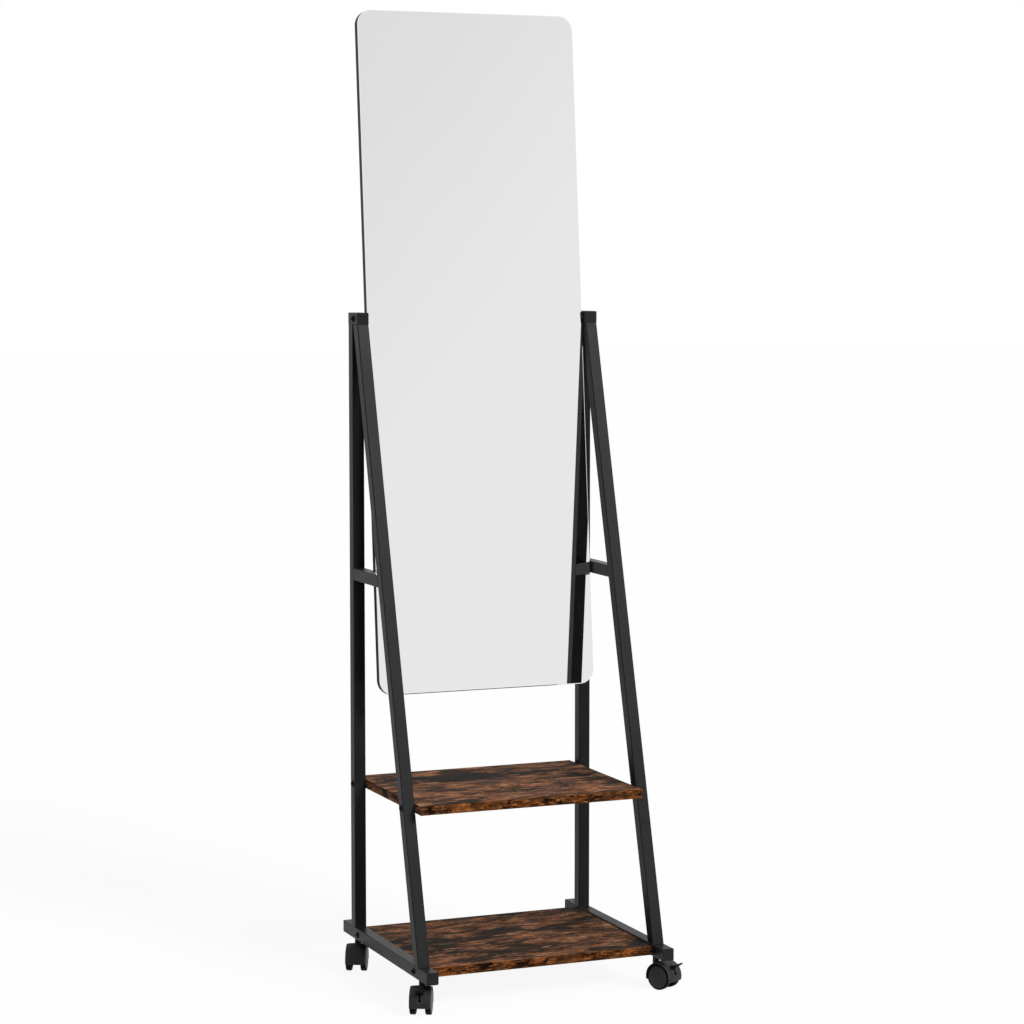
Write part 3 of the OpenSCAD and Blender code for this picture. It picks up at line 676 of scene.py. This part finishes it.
def softened(node, width, angle=32.0):
    """A copy of a CAD node's mesh with its sharp edges rounded."""
    bm = bevelled(node, width, angle, 2, True)
    bmesh.ops.dissolve_degenerate(bm, dist=PINCH, edges=bm.edges)
    bmesh.ops.triangulate(bm, faces=[f for f in bm.faces if len(f.verts) > 4])
    return evened(mesh_from(bm, node, 40.0))


def paint(names, material):
    """Gives CAD nodes that keep their own shape their finish."""
    for name in names:
        slots, mesh = NODES[name].material_slots, NODES[name].data
        if not len(slots):
            mesh.materials.append(material)
        for slot in slots:
            slot.material = material
        mesh.shade_smooth()
        mesh.set_sharp_from_angle(angle=math.radians(30.0))


def body_of(node):
    return NODES[node]["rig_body"]


def grown(name, base, tree, values):
    """Runs a tree on a base mesh and gives the result as a plain mesh."""
    holder = linked(name, base)
    modifier = holder.modifiers.new("Grow", "NODES")
    modifier.node_group = tree
    for item in tree.interface.items_tree:
        if item.item_type == "SOCKET" and item.in_out == "INPUT" and item.name in values:
            modifier[item.identifier] = values[item.name]
    result = applied(holder)
    if not len(result.polygons):
        raise RuntimeError(f"{name} came out empty")
    bm = bmesh.new()
    bm.from_mesh(result)
    bmesh.ops.delete(bm, geom=[e for e in bm.edges if not e.link_faces], context="EDGES")
    bm.to_mesh(result)
    bm.free()
    result.name = name
    return result


def turned(rows, centre, out, name, steps=72):
    """Turns rows of radius, height and material number round the line through a centre."""
    bm = bmesh.new()
    side = out.orthogonal().normalized()
    other = out.cross(side)
    turns = [math.tau * i / steps for i in range(steps)]
    rings = []
    for radius, height, _ in rows:
        middle = centre + out * height
        if radius < 1e-6:
            rings.append([bm.verts.new(middle)] * steps)
        else:
            rings.append([bm.verts.new(middle + (side * math.cos(a) + other * math.sin(a)) * radius)
                          for a in turns])
    for row, lower, upper in zip(rows, rings, rings[1:]):
        for i in range(steps):
            j = (i + 1) % steps
            corners = list(dict.fromkeys((lower[i], lower[j], upper[j], upper[i])))
            bm.faces.new(corners).material_index = row[2]
    bmesh.ops.recalc_face_normals(bm, faces=bm.faces)
    return mesh_from(bm, name, 28.0)


def spindle(axle):
    """Middle and direction of an axle that lies level."""
    low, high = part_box(axle)
    centre = (low + high) / 2
    points = [v.co - centre for v in NODES[axle].data.vertices]
    xx, yy, xy = (sum(p[i] * p[j] for p in points) for i, j in ((0, 0), (1, 1), (0, 1)))
    angle = 0.5 * math.atan2(2 * xy, xx - yy)
    return centre, Vector((math.cos(angle), math.sin(angle), 0.0))


# ---------------------------------------------------------------- operators


class MIRROR_OT_side_frames(bpy.types.Operator):
    """Powder coats the tubes of both side frames and welds their corners"""

    bl_idname = "floor_mirror.side_frames"
    bl_label = "Side frames"

    def execute(self, context):
        looks = context.scene.tube_looks
        paint([f"{side}_{part}" for side in SIDES
               for part in ("rail", "post", "leg", "crossbar", "block")], powder_coat())
        lines = bmesh.new()
        for side in SIDES:
            for line in self.corners(side, *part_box(f"{side}_post")):
                lines.edges.new([lines.verts.new(p) for p in line])
        base = bpy.data.meshes.new("corner_lines")
        lines.to_mesh(base)
        lines.free()
        mesh = grown("weld_beads", base, bead_tree(), {
            "Bead Radius": looks.bead, "Ripple Length": looks.ripple, "Seed": 7,
            "Finish": powder_coat()})
        new_piece("weld_beads", mesh, "frame")
        return {"FINISHED"}

    def corners(self, side, low, high):
        """Ends of each weld line: across the tube, in the corner of two tubes."""
        x0, x1 = low.x + BEAD_INSET, high.x - BEAD_INSET
        leg_low, leg_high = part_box(f"{side}_leg")
        bar_low, bar_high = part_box(f"{side}_crossbar")
        tube = high.y - low.y
        lean = math.atan2(leg_high.y - leg_low.y - tube / math.cos(ROUGH_LEAN),
                          leg_high.z - leg_low.z)
        back = leg_low.y + tube / math.cos(lean)
        out = BEAD_OUT
        spots = [(low.y - out, low.z + out), (high.y + out, low.z + out),
                 (leg_low.y - out, leg_low.z + out), (back + out, leg_low.z + out),
                 (low.y - out, high.z - out), (leg_high.y + out, high.z - out),
                 (bar_high.y - out, bar_low.z - out), (bar_high.y - out, bar_high.z + out)]
        for z, gap in ((bar_low.z, -out), (bar_high.z, out)):
            spots.append((back + (z - leg_low.z) * math.tan(lean) + out, z + gap))
        return [((x0, y, z), (x1, y, z)) for y, z in spots]


class MIRROR_OT_end_plugs(bpy.types.Operator):
    """Makes the moulded plugs in the tube ends"""

    bl_idname = "floor_mirror.end_plugs"
    bl_label = "End plugs"

    def execute(self, context):
        looks = context.scene.tube_looks
        plastic = grained_finish("Moulded plug", looks.plug, 0.5, 1500.0, 0.3, specular=0.12,
                                 rub=0.3, wear_and_highlight_radius=0.0008, dust=0.012)
        for node in ("rail_plugs", "block_plugs"):
            new_piece(f"soft_{node}", softened(node, looks.plug_edge), "frame",
                      [plastic], [node])
        return {"FINISHED"}


class MIRROR_OT_shelves(bpy.types.Operator):
    """Makes both laminated shelves with their edge bands"""

    bl_idname = "floor_mirror.shelves"
    bl_label = "Shelves"

    def execute(self, context):
        looks = context.scene.shelf_looks
        face = (looks.dark, looks.brown, looks.warm, looks.pale)
        band = (looks.band_dark, looks.band_brown, looks.band_warm, looks.band_pale)
        short = looks.patch * 0.45
        finishes = [rustic("Rustic laminate", face, looks.patch, 0.480),
                    rustic("Rustic long band", band, short, 0.474),
                    rustic("Rustic end band", face, short, 0.458, True)]
        for node in ("middle_shelf", "bottom_shelf"):
            new_piece(f"banded_{node}", self.board(node, looks.edge), "frame",
                      finishes, [node])
        return {"FINISHED"}

    def board(self, node, edge):
        """A board with rounded edges: laminate above and below, bands round its sides."""
        low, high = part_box(node)
        bm = bmesh.new()
        bmesh.ops.create_cube(bm, size=1.0, matrix=Matrix.Translation((low + high) / 2)
                              @ Matrix.Diagonal((*(high - low), 1.0)))
        bmesh.ops.bevel(bm, geom=list(bm.edges), offset=edge, segments=3, profile=0.5,
                        affect="EDGES")
        bm.normal_update()
        for f in bm.faces:
            if abs(f.normal.z) < 0.9:
                f.material_index = 1 if abs(f.normal.y) > abs(f.normal.x) else 2
        return evened(mesh_from(bm, node))


class MIRROR_OT_pane(bpy.types.Operator):
    """Makes the mirror pane with its ground edge, and the board behind it"""

    bl_idname = "floor_mirror.pane"
    bl_label = "Pane and board"

    def execute(self, context):
        looks = context.scene.pane_looks
        edge, *_ = clouded_finish("Glass edge", 700.0, 3.0, looks.glass_edge,
                                  shade(looks.glass_edge, 1.3), 0.30, (0.26, 0.38),
                                  specular=0.06)
        arris, ends, put, chips = clouded_finish("Ground arris", 500.0, 3.0,
                                                 shade(looks.bright, 0.95), looks.bright, 0.13,
                                                 (0.10, 0.16), metallic=1.0)
        put.feed(ends["Normal"], put.bump(chips, 0.03, 0.0001))
        new_piece("ground_pane", self.ground(looks.arris), "mirror",
                  [self.silver(looks.silver), edge, arris], ["mirror_glass"])
        board = grained_finish("Painted board", looks.board, 0.5, 700.0, 0.35, specular=0.15,
                               rub=0.08, dust=0.012)
        new_piece("painted_board", softened("backing_board", looks.board_edge, 40.0), "mirror",
                  [board], ["backing_board"])
        film, *_ = clouded_finish("Mirror adhesive", 60.0, 4.0, (0.55, 0.55, 0.50),
                                  (0.72, 0.72, 0.66), 0.6)
        paint(["adhesive_sheet"], film)
        return {"FINISHED"}

    def ground(self, arris):
        """The pane, from the CAD pane's own outline, with its edges ground."""
        bm = bevelled("mirror_glass", arris, 60.0, 1, False)
        largest = max(bm.faces, key=lambda f: f.calc_area())
        area, across = largest.calc_area(), largest.normal.copy()
        for f in bm.faces:
            slope = abs(f.normal.dot(across))
            f.material_index = 0 if f.calc_area() > 0.5 * area else 1 if slope < 0.3 else 2
        return mesh_from(bm, "ground_pane", 20.0)

    def silver(self, colour):
        """A mirror with a very faint haze, and painted shade that darkens it a little towards its
        upper left.
        """
        material, ends, put = new_material("Silvered glass", 0.02, metallic=1.0)
        haze = put.noise(put.stretch(put.place(), (3.0, 3.0, 1.6)), 1.0, 4.0, 0.6)
        spot = put.add("ShaderNodeSeparateXYZ")
        put.feed(spot.inputs[0], put.place())
        # Painted shade in the reflection: darker towards the upper left
        upper_left_shade = put.math("SUBTRACT", put.times(spot.outputs["X"], 1.2), spot.outputs["Z"])
        haze_and_shade = put.plus(put.span(upper_left_shade, -1.85, -0.85), put.times(haze, 0.2))
        put.feed(ends["Base Color"], put.mix(put.math("MINIMUM", haze_and_shade, 1.0),
                                             shade(colour, 0.93), shade(colour, 1.04)))
        put.feed(ends["Roughness"], put.span(haze, 0.3, 0.8, 0.004, 0.018))
        return material


class MIRROR_OT_bolts(bpy.types.Operator):
    """Sets the black bolts of the shelves and of the pivots"""

    bl_idname = "floor_mirror.bolts"
    bl_label = "Bolts"

    def execute(self, context):
        looks = context.scene.bolt_looks
        for node in ("shelf_bolts", "pivot_bolts"):
            points, length = self.heads(node, looks.height)
            base = bpy.data.meshes.new(f"{node}_points")
            base.from_pydata([p for p, _ in points], [], [])
            outward = base.attributes.new("outward", "FLOAT_VECTOR", "POINT")
            outward.data.foreach_set("vector", [c for _, d in points for c in d])
            mesh = grown(node, base, bolt_tree(), {
                "Head Diameter": looks.head, "Head Height": looks.height, "Key Width": looks.key,
                "Key Depth": looks.depth, "Shank Diameter": SHANK, "Shank Length": length,
                "Finish": bolt_black()})
            mesh.set_sharp_from_angle(angle=math.radians(35.0))
            new_piece(f"domed_{node}", mesh, body_of(node), (), [node])
        return {"FINISHED"}

    def heads(self, node, height):
        """Where each head's underside lies, which way it faces, and the shanks' length."""
        bm = merged(node)
        seen, found, length = set(), [], 0.0
        for first in bm.verts:
            stack, island = [first], []
            while stack:
                vert = stack.pop()
                if vert not in seen:
                    seen.add(vert)
                    island.append(vert.co.copy())
                    stack += [edge.other_vert(vert) for edge in vert.link_edges]
            if not island:
                continue
            low, high = (Vector([pick(c) for c in zip(*island)]) for pick in (min, max))
            middle = (low + high) / 2
            side = 1.0 if middle.x > 0 else -1.0
            outer = high.x if side > 0 else low.x
            found.append(((outer - side * height, middle.y, middle.z), (side, 0.0, 0.0)))
            length = high.x - low.x - height
        bm.free()
        return found, length


class MIRROR_OT_casters(bpy.types.Operator):
    """Finishes the hoods, wheels, brake levers and steel of the casters"""

    bl_idname = "floor_mirror.casters"
    bl_label = "Casters"

    def execute(self, context):
        looks = context.scene.caster_looks
        # The hood's strong edge lightening is a painted highlight along its rims
        hood = grained_finish("Moulded hood", looks.hood, 0.46, 1100.0, 0.3, specular=0.16,
                              rub=2.2, dust=0.010)
        wheel = grained_finish("Nylon wheel", looks.wheel, 0.42, 1600.0, 0.15, specular=0.18,
                               rub=0.4, wear_and_highlight_radius=0.0010, dust=0.015)
        # Painted shade on the hoods' inner faces, in place of the shade round the wheels
        inner_shade = grained_finish("Hood lining", looks.inner_shade, 0.6, 1100.0, 0.3, specular=0.05,
                                rub=0.0, dust=0.005)
        # The tread ring: its own dark colour, darkened further as painted shade of the gap by the
        # hood
        tread_and_shade = grained_finish("Tread ring and shade", looks.tread_and_shade, 0.6, 1600.0, 0.2, specular=0.04, rub=0.05,
                              dust=0.004)
        lever = grained_finish("Moulded lever", looks.lever, 0.42, 1100.0, 0.25, specular=0.08,
                               rub=0.3, wear_and_highlight_radius=0.0006, dust=0.006)
        for caster in CASTERS:
            self.hood(caster, looks.edge, [hood, inner_shade])
            for which in "ab":
                self.wheel(caster, which, looks, [wheel, tread_and_shade])
            if caster.startswith("front"):
                node = f"{caster}_lever"
                new_piece(f"soft_{node}", softened(node, looks.edge * 0.8), body_of(node),
                          [lever], [node])
                paint([f"{caster}_lever_pin"], zinc())
            paint([f"{caster}_axle"], zinc())
        paint(["caster_stems", "weld_nuts", "pivot_sleeves"], zinc())
        return {"FINISHED"}

    def hood(self, caster, edge, materials):
        """A hood with soft edges; what faces its wheels gets a darker finish as painted shade."""
        node = f"{caster}_hood"
        mesh = softened(node, edge)
        centre, out = spindle(f"{caster}_axle")
        for face in mesh.polygons:
            spoke = face.center - centre
            spoke -= out * spoke.dot(out)
            # Faces turned towards the axle take the painted shade
            if spoke.length > INNER_SHADE_FROM and face.normal.dot(spoke.normalized()) < -0.6:
                face.material_index = 1
        new_piece(f"soft_{node}", mesh, body_of(node), materials, [node])

    def wheel(self, caster, which, looks, materials):
        """A turned wheel: domed disc, groove, tread with round shoulders, recess and bore."""
        node = f"{caster}_wheel_{which}"
        centre, out = spindle(f"{caster}_axle")
        points = [v.co - centre for v in NODES[node].data.vertices]
        if sum(p.dot(out) for p in points) < 0:
            out = -out
        heights = [p.dot(out) for p in points]
        spokes = [(p - out * h).length for p, h in zip(points, heights)]
        radius, inner, crown = max(spokes), min(heights), max(heights)
        side = max(h for h, r in zip(heights, spokes) if r > radius - TREAD)
        floor, well = inner + looks.grip, inner + looks.recess_depth
        rows = [(0.0, floor, 0), (looks.bore, floor, 0), (looks.bore, inner + LIP, 0),
                (looks.bore + LIP, inner, 0), (looks.hub - LIP, inner, 0),
                (looks.hub, inner + LIP, 0), (looks.hub, well, 0), (looks.recess, well, 0),
                (looks.recess, inner + LIP, 0), (looks.recess + LIP, inner, 1),
                (radius - FOOT, inner, 1), (radius - LIP, inner + LIP, 1),
                (radius, inner + FOOT, 1)]
        for i in range(5):
            a = math.radians(22.5 * i)
            rows.append((radius - SHOULDER * (1 - math.cos(a)),
                         side - SHOULDER * (1 - math.sin(a)), 1))
        rim, bottom = radius - looks.disc, side - looks.groove
        rows += [(rim + WALL, side, 1), (rim, bottom, 1), (rim - GROOVE, bottom, 0),
                 (rim - GROOVE - WALL, side - WALL, 0)]
        for i in range(9):
            share = 1.0 - i / 8.0
            rows.append(((rim - 2 * GROOVE) * share,
                         side + (crown - side) * (1 - share ** 2), 0))
        new_piece(f"turned_{node}", turned(rows, centre, out, node), body_of(node),
                  materials, [node])


class MIRROR_OT_fixings(bpy.types.Operator):
    """Finishes the brass inserts and the washers at the pivots"""

    bl_idname = "floor_mirror.fixings"
    bl_label = "Fixings"

    def execute(self, context):
        brass = grained_finish("Plain brass", (0.66, 0.50, 0.24), 0.32, 1500.0, 0.2, metallic=1.0,
                               rub=0.2, dust=0.02)
        paint(["shelf_inserts", "pivot_inserts"], brass)
        nylon = grained_finish("Black nylon washer", (0.03, 0.03, 0.03), 0.5, 1500.0, 0.2,
                               specular=0.4, rub=0.2)
        paint(["pivot_washers"], nylon)
        return {"FINISHED"}


class MIRROR_OT_stage(bpy.types.Operator):
    """Makes the floor, the soft light and the camera"""

    bl_idname = "floor_mirror.stage"
    bl_label = "Stage"

    def execute(self, context):
        looks = context.scene.stage_looks
        self.floor(looks)
        self.sky(context.scene, looks.sky)
        self.lamp("Key light", (0.38, -0.80, 0.66), 24.0, looks.key, True)
        self.lamp("Top light", (-0.30, -0.40, 1.0), 70.0, looks.top)
        self.camera(context.scene, looks)
        return {"FINISHED"}

    def rays(self, put, veil=1.0):
        """The kinds of ray, and how much white each sees: the camera's by the veil."""
        seen = put.add("ShaderNodeLightPath").outputs
        return seen, put.math("MAXIMUM", put.times(seen["Is Camera Ray"], veil),
                              put.math("MAXIMUM", seen["Is Glossy Ray"],
                                       seen["Is Transmission Ray"]))

    def floor(self, looks):
        mesh = bpy.data.meshes.new("floor")
        corners = [(x * FLOOR, y * FLOOR, 0) for x, y in ((-1, -1), (1, -1), (1, 1), (-1, 1))]
        mesh.from_pydata(corners, [], [(0, 1, 2, 3)])
        floor = linked("floor", mesh)
        material, ends, put = new_material("Pale floor", 0.8, specular=0.0)
        nodes = material.node_tree.nodes
        seen, white = self.rays(put, looks.veil)
        shadow = put.noise(put.place(), 3.0, 3.0, 0.5)
        ground = put.mix(put.span(shadow, 0.3, 0.7), looks.ground, shade(looks.ground, 1.01))
        put.feed(ends["Base Color"], put.mix(seen["Is Camera Ray"], ground, WHITE))
        put.feed(nodes["Material Output"].inputs["Surface"], put.run("ShaderNodeMixShader", {
            0: white, 1: nodes["Principled BSDF"].outputs[0],
            2: put.add("ShaderNodeEmission").outputs[0]}))
        mesh.materials.append(material)

    def sky(self, scene, level):
        world = bpy.data.worlds.new("Studio")
        world.use_nodes = True
        put = Nodes(world.node_tree)
        back = world.node_tree.nodes["Background"].inputs
        put.feed(back["Color"], WHITE)
        put.feed(back["Strength"], put.span(self.rays(put)[1], 0.0, 1.0, level, 1.0, "LINEAR"))
        scene.world = world

    def lamp(self, name, source, width, strength, shines=False):
        light = bpy.data.lights.new(name, "SUN")
        light.angle = math.radians(width)
        light.energy = strength
        lamp = linked(name, light)
        lamp.location = Vector(source).normalized() * 4.0
        lamp.rotation_mode = "QUATERNION"
        lamp.rotation_quaternion = (-Vector(source)).to_track_quat("-Z", "Y")
        lamp.visible_glossy = shines

    def camera(self, scene, looks):
        data = bpy.data.cameras.new("Camera")
        data.lens = looks.lens
        data.sensor_width = 36.0
        data.clip_end = 200.0
        camera = linked("Camera", data)
        camera.location = looks.eye
        ahead = Vector((math.sin(looks.turn) * math.cos(looks.dip),
                        math.cos(looks.turn) * math.cos(looks.dip), -math.sin(looks.dip)))
        camera.rotation_mode = "QUATERNION"
        camera.rotation_quaternion = ahead.to_track_quat("-Z", "Y")
        scene.camera = camera
        scene.view_settings.view_transform = "Standard"


OPERATORS = (
    MIRROR_OT_side_frames, MIRROR_OT_end_plugs, MIRROR_OT_shelves, MIRROR_OT_pane,
    MIRROR_OT_bolts, MIRROR_OT_casters, MIRROR_OT_fixings, MIRROR_OT_stage,
)
LOOKS = (("tube_looks", TubeLooks), ("pane_looks", PaneLooks), ("shelf_looks", ShelfLooks),
         ("bolt_looks", BoltLooks), ("caster_looks", CasterLooks), ("stage_looks", StageLooks))


class MIRROR_PT_builder(bpy.types.Panel):
    """Lists the pieces of the floor mirror and their sizes"""

    bl_idname = "MIRROR_PT_builder"
    bl_label = "Floor Mirror"
    bl_space_type = "VIEW_3D"
    bl_region_type = "UI"
    bl_category = "Floor Mirror"

    def draw(self, context):
        layout = self.layout
        for operator in OPERATORS:
            layout.operator(operator.bl_idname)
        for name, group in LOOKS:
            box = layout.box()
            box.label(text=name.replace("_", " ").capitalize())
            for prop in group.__annotations__:
                box.prop(getattr(context.scene, name), prop)


CLASSES = tuple(group for _, group in LOOKS) + OPERATORS + (MIRROR_PT_builder,)


def register():
    for cls in CLASSES:
        bpy.utils.register_class(cls)
    for name, group in LOOKS:
        setattr(bpy.types.Scene, name, PointerProperty(type=group))


def unregister():
    for name, _ in LOOKS:
        delattr(bpy.types.Scene, name)
    for cls in reversed(CLASSES):
        bpy.utils.unregister_class(cls)


def main():
    register()
    for operator in OPERATORS:
        space, name = operator.bl_idname.split(".")
        getattr(getattr(bpy.ops, space), name)()


if __name__ == "__main__":
    main()
